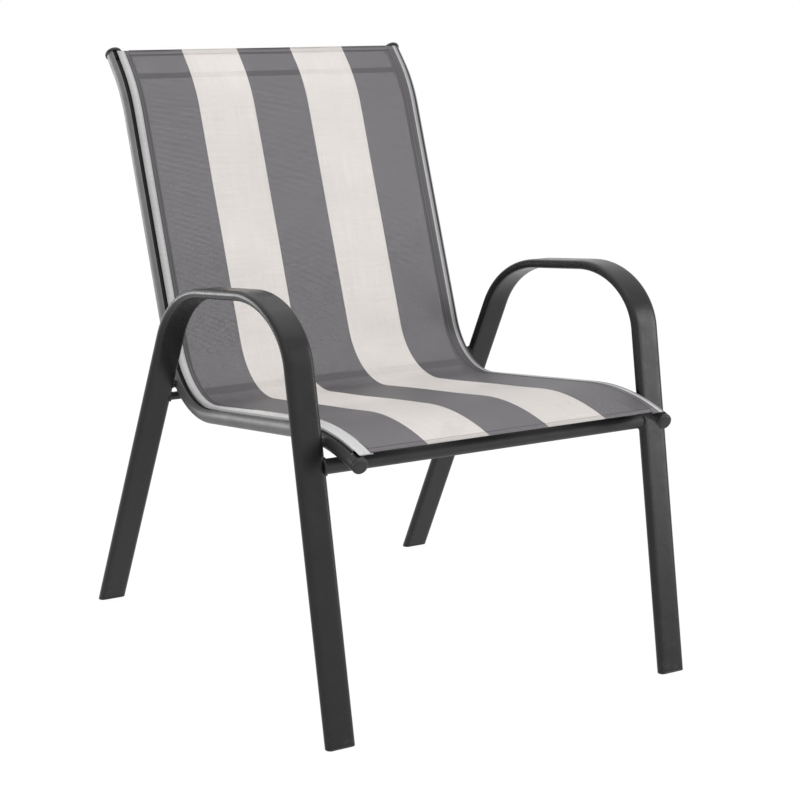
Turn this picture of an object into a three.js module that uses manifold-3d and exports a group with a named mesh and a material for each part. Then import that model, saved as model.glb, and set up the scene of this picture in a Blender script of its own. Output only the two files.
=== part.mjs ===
// A stacking patio chair: two bent side hoops, two slotted sling rails, three crossbars and one woven sling.
// Millimetres, +Z up, the sitter faces -Y, and left and right are as seen from in front of the chair.
import * as THREE from 'three';
import { mergeVertices } from 'three/addons/utils/BufferGeometryUtils.js';
import Module from 'manifold-3d';

const wasm = await Module();
wasm.setup();

// Side hoops: one flat oval tube each, up the front leg, along the arm and down the rear leg.
const hoop_width = 42;
const hoop_thickness = 13;
const hoop_wall = 1.5;
const arm_half_spacing = 275.5;
const front_foot_inset = 7.5;
const front_foot_y = -255;
const rear_foot_y = 422.9;
const arm_front_y = -140;
const arm_front_height = 556.7;
const arm_rear_y = 171.4;
const arm_rear_height = 516.4;
const front_bend_leg_reach = 87;
const front_bend_arm_reach = 119.5;
const rear_bend_arm_reach = 89;
const rear_bend_leg_reach = 74;

// Sling rails: round tube, slotted along its whole length, bent up from the seat into the back.
const rail_to_leg_gap = 3.5;
const rail_diameter = 22;
const rail_wall = 1.5;
const slot_width = 6.5;
const slot_angle = 10;
const seat_front_y = -98.1;
const seat_front_height = 375;
const seat_slope_angle = 7.93;
const seat_run = 249.9;
const front_drop_radius = 341;
const front_drop_angle = 25.3;
const seat_bend_radius = 115.7;
const seat_bend_angle = 76.8;
const back_run = 345.5;
const top_bend_radius = 186.7;
const top_bend_angle = 22.3;
const top_run = 31.3;

// Crossbars, and the round spacers that join the rails to the legs.
const front_bar_diameter = 20;
const front_bar_gap = 8.1;
const rear_bar_diameter = 11.6;
const rear_bar_gap = 4.6;
const top_bar_diameter = 8;
const top_bar_from_end = 41;
const bar_wall = 1.5;
const spacer_diameter = 9;
const weld_bite = 3;

// Sling: one layer of mesh, folded double under its ends and along its sides, where a rod lies in the fold.
const sling_thickness = 1;
const top_end_margin = 3;
const front_end_margin = 1.5;
const front_edge_setback = 4.6;
const top_hem_length = 10;
const front_hem_length = 8;
const side_hem_width = 20;
const spline_diameter = 7;
const spline_end_margin = 16;

// Plastic end pieces.
const sole_height = 3;
const sole_edge = 1;
const foot_stem_length = 20;
const top_cap_height = 6;
const top_cap_overhang = 1.5;
const front_cap_height = 7;
const cap_edge = 4;
const cap_stem_length = 12;
const cap_rib_pitch = 4;
const cap_rib_depth = 1;

// The clearance between pieces that touch, and how far a cutting shape runs past what it cuts.
const fit_gap = 0.3;
const cut_overrun = 5;

const oval_end_steps = 6;
const bore_end_steps = 4;
const round_steps = 16;
const bore_steps = 12;
const crest_steps = 3;
const pocket_steps = 8;
const degrees = Math.PI / 180;
const across = new THREE.Vector3(1, 0, 0);

const finishes = {
  frame: { color: 0x3e3f41, roughness: 0.45, metalness: 0.35 },
  rail: { color: 0x47484a, roughness: 0.42, metalness: 0.35 },
  plastic: { color: 0x151516, roughness: 0.55, metalness: 0 },
  sling: { color: 0xa7a29f, roughness: 0.8, metalness: 0 },
  rod: { color: 0xd8d8d4, roughness: 0.6, metalness: 0 },
};

const chair = new THREE.Group();

function addPiece(name, geometry, finish) {
  const mesh = new THREE.Mesh(geometry, new THREE.MeshStandardMaterial(finishes[finish]));
  mesh.name = name;
  chair.add(mesh);
  return mesh;
}

// A circular bend in an upright plane across the chair's width, turning by an angle from a start heading.
class Bend extends THREE.Curve {
  constructor(start, heading, radius, turn) {
    super();
    Object.assign(this, { start, heading, radius, turn });
  }

  getPoint(t) {
    const side = Math.sign(this.turn);
    const angle = this.heading + this.turn * t;
    const rise = this.radius * side;
    return new THREE.Vector3(
      this.start.x,
      this.start.y + rise * (Math.sin(angle) - Math.sin(this.heading)),
      this.start.z - rise * (Math.cos(angle) - Math.cos(this.heading)),
    );
  }

  getTangent(t) {
    const angle = this.heading + this.turn * t;
    return new THREE.Vector3(0, Math.cos(angle), Math.sin(angle));
  }
}

// A centre line made of runs and bends, with so many sections in each.
// Its frames keep the section's width across the chair, so that the tube never twists.
class Route extends THREE.Curve {
  constructor(legs) {
    super();
    this.legs = legs;
    this.sections = legs.reduce((sum, leg) => sum + leg.steps, 0);
  }

  find(u) {
    let left = u * this.sections;
    for (const leg of this.legs) {
      if (left <= leg.steps) return [leg.curve, left / leg.steps];
      left -= leg.steps;
    }
    return [this.legs.at(-1).curve, 1];
  }

  getPointAt(u) {
    const [curve, t] = this.find(u);
    return curve.getPoint(t);
  }

  getTangentAt(u) {
    const [curve, t] = this.find(u);
    return curve.getTangent(t);
  }

  getPoint(u) {
    return this.getPointAt(u);
  }

  // A stretch near one end, from so far in to so much further: index 0 for the start, -1 for the end.
  slice(index, inset, length) {
    const { curve } = this.legs.at(index);
    const share = length / curve.getLength();
    const inset_share = inset / curve.getLength();
    const from = index < 0 ? 1 - share - inset_share : inset_share;
    const part = new THREE.Curve();
    part.getPoint = (t) => curve.getPoint(from + share * t);
    part.getTangent = (t) => curve.getTangent(from + share * t);
    return new Route([{ curve: part, steps: 1 }]);
  }

  computeFrenetFrames(count) {
    const frames = { tangents: [], normals: [], binormals: [] };
    for (let i = 0; i <= count; i++) {
      const frame = frameFor(this.getTangentAt(i / count));
      frames.tangents.push(frame.along);
      frames.normals.push(frame.side);
      frames.binormals.push(frame.out);
    }
    return frames;
  }
}

// The axes of a tube's section: along it, to its side (towards -X), and out of its bends' plane.
function frameFor(tangent) {
  const along = tangent.clone().normalize();
  const side = across.clone().addScaledVector(along, -along.dot(across)).normalize().negate();
  return { along, side, out: new THREE.Vector3().crossVectors(along, side) };
}

// A smooth bend between two straight runs, from its reach along each of them.
function cornerBend(before, corner, after, reachIn, reachOut) {
  const toBefore = before.clone().sub(corner).normalize();
  const toAfter = after.clone().sub(corner).normalize();
  const turn = Math.PI - toBefore.angleTo(toAfter);
  const handle_share = (4 / 3) * Math.tan(turn / 4) / Math.tan(turn / 2);
  const start = corner.clone().addScaledVector(toBefore, reachIn);
  const end = corner.clone().addScaledVector(toAfter, reachOut);
  return new THREE.CubicBezierCurve3(
    start,
    start.clone().lerp(corner, handle_share),
    end.clone().lerp(corner, handle_share),
    end,
  );
}

function ovalPoints(width, thickness, steps) {
  const radius = thickness / 2;
  const reach = width / 2 - radius;
  const points = [];
  for (const side of [1, -1]) {
    for (let i = 0; i <= steps; i++) {
      const angle = Math.PI * (i / steps - side / 2);
      points.push(new THREE.Vector2(side * reach + radius * Math.cos(angle), radius * Math.sin(angle)));
    }
  }
  return points;
}

function circlePoints(radius, steps, centre = new THREE.Vector2()) {
  return Array.from({ length: steps }, (_, i) => {
    const angle = 2 * Math.PI * i / steps;
    return new THREE.Vector2(centre.x + radius * Math.cos(angle), centre.y + radius * Math.sin(angle));
  });
}

// How near the flats of a many-sided tube come to its centre.
function flatRadius(radius, steps) {
  return radius * Math.cos(Math.PI / steps);
}

// A rod's section, or its pocket's: both start at the same angle, so that their flats lie side by side.
function rodPoints(radius, centre) {
  return circlePoints(radius, pocket_steps, centre);
}

function hollow(outer, inner) {
  const shape = new THREE.Shape(outer);
  if (inner) shape.holes.push(new THREE.Path(inner));
  return shape;
}

function sweep(shape, route) {
  return new THREE.ExtrudeGeometry(shape, { steps: route.sections, bevelEnabled: false, extrudePath: route });
}

function toSolid(geometry) {
  const bare = geometry.clone();
  bare.deleteAttribute('normal');
  bare.deleteAttribute('uv');
  const merged = mergeVertices(bare);
  return new wasm.Manifold(new wasm.Mesh({
    numProp: 3,
    vertProperties: Float32Array.from(merged.attributes.position.array),
    triVerts: Uint32Array.from(merged.index.array),
  }));
}

function toGeometry(solid) {
  const mesh = solid.getMesh();
  const geometry = new THREE.BufferGeometry();
  geometry.setAttribute('position', new THREE.BufferAttribute(Float32Array.from(mesh.vertProperties), 3));
  geometry.setIndex(new THREE.BufferAttribute(Uint32Array.from(mesh.triVerts), 1));
  geometry.computeVertexNormals();
  return geometry;
}

// A block that fills everything under a height, for cutting a foot level.
function groundBlock(top) {
  const reach = 2 * (arm_half_spacing + Math.max(rear_foot_y, -front_foot_y));
  const block = new THREE.BoxGeometry(reach, reach, reach);
  return toSolid(block.translate(0, 0, top - reach / 2));
}

// Hoop centre lines.
function hoopRoute(side) {
  const front_foot = new THREE.Vector3(side * (arm_half_spacing - front_foot_inset), front_foot_y, 0);
  const arm_front = new THREE.Vector3(side * arm_half_spacing, arm_front_y, arm_front_height);
  const arm_rear = new THREE.Vector3(side * arm_half_spacing, arm_rear_y, arm_rear_height);
  const rear_foot = new THREE.Vector3(side * arm_half_spacing, rear_foot_y, 0);
  const front_bend = cornerBend(front_foot, arm_front, arm_rear, front_bend_leg_reach, front_bend_arm_reach);
  const rear_bend = cornerBend(arm_front, arm_rear, rear_foot, rear_bend_arm_reach, rear_bend_leg_reach);
  // The tube runs on below the floor at both feet, and is cut level afterwards.
  const past = (foot, top) => foot.clone().sub(top).setLength(hoop_thickness + cut_overrun).add(foot);
  const start = past(front_foot, front_bend.v0);
  const end = past(rear_foot, rear_bend.v3);
  const route = new Route([
    { curve: new THREE.LineCurve3(start, front_bend.v0), steps: 1 },
    { curve: front_bend, steps: 14 },
    { curve: new THREE.LineCurve3(front_bend.v3, rear_bend.v0), steps: 1 },
    { curve: rear_bend, steps: 10 },
    { curve: new THREE.LineCurve3(rear_bend.v3, end), steps: 1 },
  ]);
  return { route, front: { foot: front_foot, top: front_bend.v0 }, rear: { foot: rear_foot, top: rear_bend.v3 } };
}

// Rail centre line, from its front end up to its top end, less what is trimmed off each.
function railRoute(x, trim_front, trim_top) {
  const seat = -seat_slope_angle * degrees;
  const full_drop = front_drop_angle * degrees;
  const drop = full_drop - trim_front / front_drop_radius;
  const seat_front = new THREE.Vector3(x, seat_front_y, seat_front_height);
  const entry = new Bend(new THREE.Vector3(x, 0, 0), seat + drop, front_drop_radius, -drop);
  const front_bend = new Bend(seat_front.clone().sub(entry.getPoint(1)).setX(x), seat + drop, front_drop_radius, -drop);
  const ahead = (from, heading, length) =>
    new THREE.Vector3(x, from.y + length * Math.cos(heading), from.z + length * Math.sin(heading));
  const seat_back = ahead(seat_front, seat, seat_run);
  const seat_bend = new Bend(seat_back, seat, seat_bend_radius, seat_bend_angle * degrees);
  const back = seat + seat_bend_angle * degrees;
  const back_top = ahead(seat_bend.getPoint(1), back, back_run);
  const top_bend = new Bend(back_top, back, top_bend_radius, -top_bend_angle * degrees);
  const top = back - top_bend_angle * degrees;
  const top_start = top_bend.getPoint(1);
  return new Route([
    { curve: front_bend, steps: 7 },
    { curve: new THREE.LineCurve3(seat_front, seat_back), steps: 1 },
    { curve: seat_bend, steps: 13 },
    { curve: new THREE.LineCurve3(seat_bend.getPoint(1), back_top), steps: 1 },
    { curve: top_bend, steps: 5 },
    { curve: new THREE.LineCurve3(top_start, ahead(top_start, top, top_run - trim_top)), steps: 1 },
  ]);
}

// The point of a leg's straight run at a height.
function onLeg(leg, height) {
  return leg.foot.clone().lerp(leg.top, (height - leg.foot.z) / (leg.top.z - leg.foot.z));
}

// Points of a route close enough together to measure from.
const probe_count = 1200;
function probes(route) {
  return Array.from({ length: probe_count + 1 }, (_, i) => route.getPointAt(i / probe_count));
}

// Where a rail passes a leg, seen from the chair's side: the probe that lies nearest to the leg's line.
function crossing(points, leg) {
  const direction = leg.top.clone().sub(leg.foot).setX(0).normalize();
  const offset = (point) => {
    const from = point.clone().sub(leg.foot).setX(0);
    return from.cross(direction).length();
  };
  return points.reduce((best, point) => (offset(point) < offset(best) ? point : best));
}

// The highest point of a leg, below a height, that is at least so far from every probe.
function seatBelow(points, leg, height, distance) {
  const clear = (z) => {
    const place = onLeg(leg, z);
    return Math.min(...points.map((p) => Math.hypot(p.y - place.y, p.z - place.z))) >= distance;
  };
  let low = 0;
  let high = height;
  while (high - low > fit_gap / 1000) {
    const middle = (low + high) / 2;
    if (clear(middle)) low = middle;
    else high = middle;
  }
  return onLeg(leg, low);
}

// A straight tube or rod across the chair between two places, centred on a point of its path.
function crossTube(shape, from_x, to_x, centre) {
  const geometry = new THREE.ExtrudeGeometry(shape, { depth: to_x - from_x, bevelEnabled: false });
  return geometry.rotateY(Math.PI / 2).translate(from_x, centre.y, centre.z);
}

const bore_thickness = hoop_thickness - 2 * hoop_wall;
const bore_width = hoop_width - 2 * hoop_wall;
const rail_radius = rail_diameter / 2;
const rail_bore = rail_radius - rail_wall;
const slot = slot_angle * degrees;
const rail_half_spacing = arm_half_spacing - hoop_width / 2 - rail_to_leg_gap - rail_radius;
const sling_underside = rail_radius + fit_gap;
const sling_top = sling_underside + 2 * sling_thickness;
const pocket_radius = spline_diameter / 2 + fit_gap + sling_thickness;
const rod_offset = flatRadius(rail_bore, bore_steps) - fit_gap - pocket_radius;
const sides = [['left', -1], ['right', 1]];

// A hoop's tube, its two foot plugs, and a fatter solid of it for coping what is welded to it.
function hoopParts(side) {
  const { route, front, rear } = hoopRoute(side);
  const outer = ovalPoints(hoop_width, hoop_thickness, oval_end_steps);
  const inner = ovalPoints(bore_width, bore_thickness, bore_end_steps);
  const tube = toSolid(sweep(hollow(outer, inner), route)).subtract(groundBlock(sole_height + fit_gap));
  const around = ovalPoints(hoop_width + 2 * fit_gap, hoop_thickness + 2 * fit_gap, oval_end_steps);
  return { tube, cutter: toSolid(sweep(hollow(around), route)), front, rear };
}

// A foot plug: a level sole with a soft edge, and a stem up the leg's bore.
function footPlug(leg) {
  const { along, side, out } = frameFor(leg.top.clone().sub(leg.foot));
  const centre = onLeg(leg, sole_height);
  const level = ({ x, y }) => {
    const point = centre.clone().addScaledVector(side, x).addScaledVector(out, y);
    return point.addScaledVector(along, (sole_height - point.z) / along.z);
  };
  const outline = ovalPoints(hoop_width, hoop_thickness, oval_end_steps).map(level);
  const sole = new THREE.ExtrudeGeometry(new THREE.Shape(outline.map((p) => new THREE.Vector2(p.x, p.y))), {
    depth: sole_height - 2 * sole_edge,
    bevelThickness: sole_edge,
    bevelSize: sole_edge,
    bevelOffset: -sole_edge,
    bevelSegments: 2,
  });
  sole.translate(0, 0, sole_edge);
  const stem_shape = hollow(ovalPoints(bore_width - 2 * fit_gap, bore_thickness - 2 * fit_gap, bore_end_steps));
  const stem_route = new Route([{
    curve: new THREE.LineCurve3(
      centre.clone().addScaledVector(along, -hoop_thickness),
      centre.clone().addScaledVector(along, foot_stem_length),
    ),
    steps: 1,
  }]);
  const stem = toSolid(sweep(stem_shape, stem_route)).subtract(groundBlock(sole_height / 2));
  return toSolid(sole).add(stem);
}

// The rail's section: a ring with a slot that faces forwards and outwards.
function railShape(side) {
  const middle = Math.PI / 2 + side * slot;
  const outer_half = Math.asin(slot_width / 2 / rail_radius);
  const inner_half = Math.asin(slot_width / 2 / rail_bore);
  const points = [];
  for (let i = 0; i <= round_steps; i++) {
    const angle = middle + outer_half + (2 * Math.PI - 2 * outer_half) * i / round_steps;
    points.push(new THREE.Vector2(rail_radius * Math.cos(angle), rail_radius * Math.sin(angle)));
  }
  for (let i = bore_steps; i >= 0; i--) {
    const angle = middle + inner_half + (2 * Math.PI - 2 * inner_half) * i / bore_steps;
    points.push(new THREE.Vector2(rail_bore * Math.cos(angle), rail_bore * Math.sin(angle)));
  }
  return new THREE.Shape(points);
}

// The sling's section across the chair: one layer between the side hems and two beyond them.
// The hems pass over the rails' crests and into their slots, and end in a pocket round each rod.
function slingShape() {
  const edge = { points: [], centre: new THREE.Vector2() };
  const inward = slot_width / 2 - fit_gap;
  const outward = inward - 2 * sling_thickness;
  const at = (along, lateral) => new THREE.Vector2(
    rail_half_spacing + along * Math.sin(slot) - lateral * Math.cos(slot),
    along * Math.cos(slot) + lateral * Math.sin(slot),
  );
  // The slot may begin before the crest, and then a layer turns straight down into it.
  const overCrest = (radius, lateral) => {
    const end = slot - Math.asin(lateral / radius);
    if (end <= 0) return [at((radius - lateral * Math.sin(slot)) / Math.cos(slot), lateral)];
    return Array.from({ length: crest_steps + 1 }, (_, i) => new THREE.Vector2(
      rail_half_spacing + radius * Math.sin(end * i / crest_steps),
      radius * Math.cos(end * i / crest_steps),
    ));
  };
  const pocket = [];
  const first = Math.asin(-outward / pocket_radius);
  const last = 2 * Math.PI - Math.asin(inward / pocket_radius);
  for (let i = 0; i <= pocket_steps; i++) {
    const angle = first + (last - first) * i / pocket_steps;
    pocket.push(at(rod_offset + pocket_radius * Math.cos(angle), -pocket_radius * Math.sin(angle)));
  }
  const hem_edge = rail_half_spacing - side_hem_width;
  const right = [
    ...overCrest(sling_top, outward),
    ...pocket,
    ...overCrest(sling_underside, inward).reverse(),
    new THREE.Vector2(hem_edge, sling_underside),
    new THREE.Vector2(hem_edge, sling_top - sling_thickness),
  ];
  const mirrored = right.map((p) => new THREE.Vector2(-p.x, p.y)).reverse();
  const shape = new THREE.Shape([...right, ...mirrored]);
  for (const side of [1, -1]) {
    const rod = at(rod_offset, 0);
    shape.holes.push(new THREE.Path(rodPoints(spline_diameter / 2 + fit_gap, new THREE.Vector2(side * rod.x, rod.y))));
  }
  return shape;
}

// A hem folded under the sling, sunk into the layer above it so that the two are one body.
// It is a little thinner than the side hems, and its ends lie inside them.
function hemStrip(route) {
  const half = rail_half_spacing - side_hem_width / 2;
  const low = sling_underside + fit_gap;
  const high = sling_top - sling_thickness / 2;
  const section = [[-half, low], [half, low], [half, high], [-half, high]];
  return sweep(new THREE.Shape(section.map(([x, y]) => new THREE.Vector2(x, y))), route);
}

// A rail's end cap: a rounded head on a ribbed stem, turned on its axis.
// The stem is slim enough to stay clear of the bore where the rail bends away from it.
function endCap(height, overhang) {
  const bend_drift = cap_stem_length ** 2 / (2 * front_drop_radius);
  const stem_radius = flatRadius(rail_bore, bore_steps) - fit_gap - bend_drift;
  const core_radius = stem_radius - cap_rib_depth;
  const profile = [new THREE.Vector2(0, -cap_stem_length)];
  const ribs = Math.floor(cap_stem_length / cap_rib_pitch);
  for (let i = 0; i < ribs; i++) {
    const foot = -cap_stem_length + i * cap_rib_pitch;
    profile.push(new THREE.Vector2(core_radius, foot));
    profile.push(new THREE.Vector2(stem_radius, foot + cap_rib_pitch / 3));
    profile.push(new THREE.Vector2(core_radius, foot + 2 * cap_rib_pitch / 3));
  }
  profile.push(new THREE.Vector2(core_radius, fit_gap));
  const head_radius = rail_radius + overhang;
  profile.push(new THREE.Vector2(head_radius, fit_gap));
  const edge = Math.min(cap_edge, height);
  const edge_steps = 4;
  for (let i = 0; i <= edge_steps; i++) {
    const angle = Math.PI / 2 * i / edge_steps;
    profile.push(new THREE.Vector2(
      head_radius - edge + edge * Math.cos(angle),
      fit_gap + height - edge + edge * Math.sin(angle),
    ));
  }
  profile.push(new THREE.Vector2(0, fit_gap + height));
  return new THREE.LatheGeometry(profile, round_steps);
}

function placeCap(name, route, at_top, height, overhang) {
  const cap = addPiece(name, endCap(height, overhang), 'plastic');
  const outwards = route.getTangentAt(at_top ? 1 : 0);
  if (!at_top) outwards.negate();
  cap.position.copy(route.getPointAt(at_top ? 1 : 0));
  cap.quaternion.setFromUnitVectors(new THREE.Vector3(0, 1, 0), outwards);
}

const middle_rail = railRoute(0, 0, 0);
const rail_probes = probes(middle_rail);
const hoops = Object.fromEntries(sides.map(([name, side]) => [name, hoopParts(side)]));

for (const [name] of sides) {
  const { tube, front, rear } = hoops[name];
  addPiece(`${name}_side_hoop`, toGeometry(tube), 'frame');
  addPiece(`front_${name}_foot_plug`, toGeometry(footPlug(front)), 'plastic');
  addPiece(`rear_${name}_foot_plug`, toGeometry(footPlug(rear)), 'plastic');
}

// Rails with their spline rods and end caps, and the spacers between each rail and the legs beside it.
for (const [name, side] of sides) {
  const route = railRoute(side * rail_half_spacing, 0, 0);
  addPiece(`${name}_sling_rail`, sweep(railShape(side), route), 'rail');
  const rod_centre = new THREE.Vector2(-side * rod_offset * Math.sin(slot), rod_offset * Math.cos(slot));
  const rod_route = railRoute(side * rail_half_spacing, spline_end_margin, spline_end_margin);
  const rod_section = rodPoints(spline_diameter / 2, rod_centre);
  addPiece(`${name}_sling_spline`, sweep(new THREE.Shape(rod_section), rod_route), 'rod');
  placeCap(`top_${name}_rail_cap`, route, true, top_cap_height, top_cap_overhang);
  placeCap(`front_${name}_rail_cap`, route, false, front_cap_height, 0);
  const around_rail = toSolid(sweep(hollow(circlePoints(rail_radius + fit_gap, round_steps)), route));
  for (const end of ['front', 'rear']) {
    const place = crossing(rail_probes, hoops[name][end]);
    const reach = weld_bite + hoop_width / 2;
    const inside = side * rail_half_spacing;
    const outside = side * (arm_half_spacing - reach + 2 * weld_bite);
    const pin = crossTube(
      hollow(circlePoints(spacer_diameter / 2, round_steps)),
      Math.min(inside, outside),
      Math.max(inside, outside),
      place,
    );
    const spacer = toSolid(pin).subtract(hoops[name].cutter).subtract(around_rail);
    addPiece(`${end}_${name}_rail_spacer`, toGeometry(spacer), 'frame');
  }
}

// Crossbars between the hoops, a little under the rails.
function barRing(diameter) {
  return hollow(circlePoints(diameter / 2, round_steps), circlePoints(diameter / 2 - bar_wall, bore_steps));
}

function legBar(name, leg, diameter, gap) {
  const place = seatBelow(rail_probes, leg, crossing(rail_probes, leg).z, rail_radius + diameter / 2 + gap);
  const reach = Math.abs(place.x) - hoop_width / 2 + weld_bite;
  const bar = toSolid(crossTube(barRing(diameter), -reach, reach, place));
  const coped = bar.subtract(hoops.left.cutter).subtract(hoops.right.cutter);
  addPiece(name, toGeometry(coped), 'frame');
}

legBar('front_crossbar', hoops.right.front, front_bar_diameter, front_bar_gap);
legBar('rear_crossbar', hoops.right.rear, rear_bar_diameter, rear_bar_gap);

// Top spreader bar between the rails, just behind the sling.
function pointFromTop(points, distance) {
  let left = distance;
  for (let i = points.length - 1; i > 0; i--) {
    const step = points[i].distanceTo(points[i - 1]);
    if (left <= step) return points[i].clone().lerp(points[i - 1], left / step);
    left -= step;
  }
  return points[0];
}

const top_bar_place = pointFromTop(rail_probes, top_bar_from_end);
const top_reach = rail_half_spacing - rail_radius + weld_bite;
let top_bar = toSolid(crossTube(barRing(top_bar_diameter), -top_reach, top_reach, top_bar_place));
for (const [, side] of sides) {
  const around_rail = sweep(hollow(circlePoints(rail_radius + fit_gap, round_steps)), railRoute(side * rail_half_spacing, 0, 0));
  top_bar = top_bar.subtract(toSolid(around_rail));
}
addPiece('top_crossbar', toGeometry(top_bar), 'frame');

const sling_route = railRoute(0, front_end_margin, top_end_margin);
const hem_fold = sling_thickness / 2;
const hems = [
  hemStrip(sling_route.slice(0, front_edge_setback + hem_fold, front_hem_length)),
  hemStrip(sling_route.slice(-1, hem_fold, top_hem_length)),
];
const front_cut_half = rail_half_spacing - side_hem_width + sling_thickness;
const front_cut_section = [
  new THREE.Vector2(-front_cut_half, rail_radius - cut_overrun),
  new THREE.Vector2(front_cut_half, rail_radius - cut_overrun),
  new THREE.Vector2(front_cut_half, sling_top + cut_overrun),
  new THREE.Vector2(-front_cut_half, sling_top + cut_overrun),
];
const front_cut = sweep(new THREE.Shape(front_cut_section), middle_rail.slice(0, 0, front_end_margin + front_edge_setback));
// Between its side hems, the sling's front edge is set back from their ends.
let sling = toSolid(sweep(slingShape(), sling_route)).subtract(toSolid(front_cut));
for (const hem of hems) sling = sling.add(toSolid(hem));
// The pockets are cut away where the end caps' stems fill the rails.
for (const [, side] of sides) {
  const route = railRoute(side * rail_half_spacing, 0, 0);
  for (const end of [0, -1]) {
    const stem_room = sweep(hollow(circlePoints(rail_bore, round_steps)), route.slice(end, 0, spline_end_margin));
    sling = sling.subtract(toSolid(stem_room));
  }
}
addPiece('sling', toGeometry(sling), 'sling');

// The chair stands on z = 0, with its origin under the middle of its box.
chair.updateMatrixWorld(true);
const box = new THREE.Box3().setFromObject(chair, true);
chair.position.y = -(box.min.y + box.max.y) / 2;

export default chair;
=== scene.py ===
import math

import bpy
import numpy as np
from mathutils import Matrix, Vector


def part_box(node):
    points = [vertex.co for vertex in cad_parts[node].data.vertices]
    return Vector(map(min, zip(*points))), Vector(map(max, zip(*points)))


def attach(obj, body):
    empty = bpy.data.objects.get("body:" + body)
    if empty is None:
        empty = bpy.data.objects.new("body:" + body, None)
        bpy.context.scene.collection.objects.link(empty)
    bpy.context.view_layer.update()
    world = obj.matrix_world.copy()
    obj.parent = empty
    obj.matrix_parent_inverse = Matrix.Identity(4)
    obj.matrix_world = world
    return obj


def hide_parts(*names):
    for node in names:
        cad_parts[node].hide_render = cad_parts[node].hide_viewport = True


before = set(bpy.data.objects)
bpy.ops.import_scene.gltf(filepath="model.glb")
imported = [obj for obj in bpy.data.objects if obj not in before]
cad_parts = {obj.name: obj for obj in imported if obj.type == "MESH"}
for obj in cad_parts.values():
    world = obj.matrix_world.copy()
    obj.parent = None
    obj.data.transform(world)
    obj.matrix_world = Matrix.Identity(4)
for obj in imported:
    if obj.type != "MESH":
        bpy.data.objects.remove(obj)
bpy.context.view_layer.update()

# Side hoops: flat oval tube, up the front leg, along the arm and down the rear leg.
HOOP_WIDTH = 0.042
HOOP_THICKNESS = 0.013
HOOP_WALL = 0.0015
ARM_HALF_SPACING = 0.2755
FRONT_FOOT_INSET = 0.0075
FRONT_FOOT_Y = -0.255
REAR_FOOT_Y = 0.4229
ARM_FRONT = (-0.140, 0.5567)
ARM_REAR = (0.1714, 0.5164)
FRONT_BEND_REACHES = (0.087, 0.1195)
REAR_BEND_REACHES = (0.0891, 0.0741)

# Sling rails: slotted round tube, bent from the seat up into the back.
RAIL_TO_LEG_GAP = 0.0035
RAIL_RADIUS = 0.011
RAIL_WALL = 0.0015
SLOT_WIDTH = 0.0065
SLOT_ANGLE = math.radians(10)
SEAT_FRONT = (-0.0981, 0.3750)
SEAT_HEADING = math.radians(-7.93)
FRONT_DROP_RADIUS = 0.341
FRONT_DROP_ANGLE = math.radians(25.3)
SEAT_RUN = 0.2499
SEAT_BEND_RADIUS = 0.1157
SEAT_BEND_ANGLE = math.radians(76.8)
BACK_RUN = 0.3455
TOP_BEND_RADIUS = 0.1867
TOP_BEND_ANGLE = math.radians(22.3)
TOP_RUN = 0.0313

# Crossbars, spacers and weld beads.
FRONT_BAR_RADIUS = 0.010
REAR_BAR_RADIUS = 0.0058
TOP_BAR_RADIUS = 0.004
TOP_BAR_FROM_END = 0.041
BAR_WALL = 0.0015
SPACER_RADIUS = 0.0045
WELD_BITE = 0.003
WELD_RADIUS = 0.0021
TOP_WELD_RADIUS = 0.8 * WELD_RADIUS
SPACER_WELD_RADIUS = 0.7 * WELD_RADIUS

# Sling.
SLING_THICKNESS = 0.001
LAYER_SPACE = 0.0001
TOP_END_MARGIN = 0.003
FRONT_END_MARGIN = 0.0015
FRONT_EDGE_SETBACK = 0.0046
TOP_HEM_LENGTH = 0.010
FRONT_HEM_LENGTH = 0.008
SIDE_HEM_WIDTH = 0.020
SPLINE_RADIUS = 0.0035
SPLINE_END_MARGIN = 0.016
STRIPE_WIDTH = 0.092
STRIPE_CENTRE = 0.002
SEAT_STRETCH = 0.017
YARN_PITCH = 0.0018
YARN_THICKNESS = 0.00015
STITCH_PITCH = 0.0042
STITCH_LENGTH = 0.0034
THREAD_RADIUS = 0.00038
SIDE_SEAM_INSET = 0.002
END_SEAM_INSET = 0.0015
SEAM_END_MARGIN = 0.004
RIPPLE_HEIGHT = 0.00028

# Plastic end pieces.
SOLE_HEIGHT = 0.003
SOLE_EDGE = 0.001
FOOT_STEM_LENGTH = 0.020
TOP_CAP_HEIGHT = 0.006
TOP_CAP_OVERHANG = 0.0015
FRONT_CAP_HEIGHT = 0.007
CAP_EDGE = 0.004
CAP_STEM_LENGTH = 0.012
CAP_RIB_DEPTH = 0.001
FIT_GAP = 0.0003

# What follows from these sizes. The rod lies against the flats of the CAD's bore, which has few steps.
CAD_BORE_STEPS = 12
RAIL_BORE = RAIL_RADIUS - RAIL_WALL
BORE_FLATS = RAIL_BORE * math.cos(math.pi / CAD_BORE_STEPS)
RAIL_HALF_SPACING = ARM_HALF_SPACING - HOOP_WIDTH / 2 - RAIL_TO_LEG_GAP - RAIL_RADIUS
SLING_UNDERSIDE = RAIL_RADIUS + FIT_GAP
POCKET_RADIUS = SPLINE_RADIUS + FIT_GAP + SLING_THICKNESS / 2
ROD_OFFSET = BORE_FLATS - FIT_GAP - (SPLINE_RADIUS + FIT_GAP + SLING_THICKNESS)
FRONT_EDGE = FRONT_END_MARGIN + FRONT_EDGE_SETBACK
SLING_TOP = SLING_UNDERSIDE + 2 * SLING_THICKNESS - LAYER_SPACE / 2
HEM_INNER_EDGE = RAIL_HALF_SPACING - SIDE_HEM_WIDTH + SLING_THICKNESS
SEAT_START = FRONT_DROP_RADIUS * FRONT_DROP_ANGLE
SEAT_END = SEAT_START + SEAT_RUN

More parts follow.
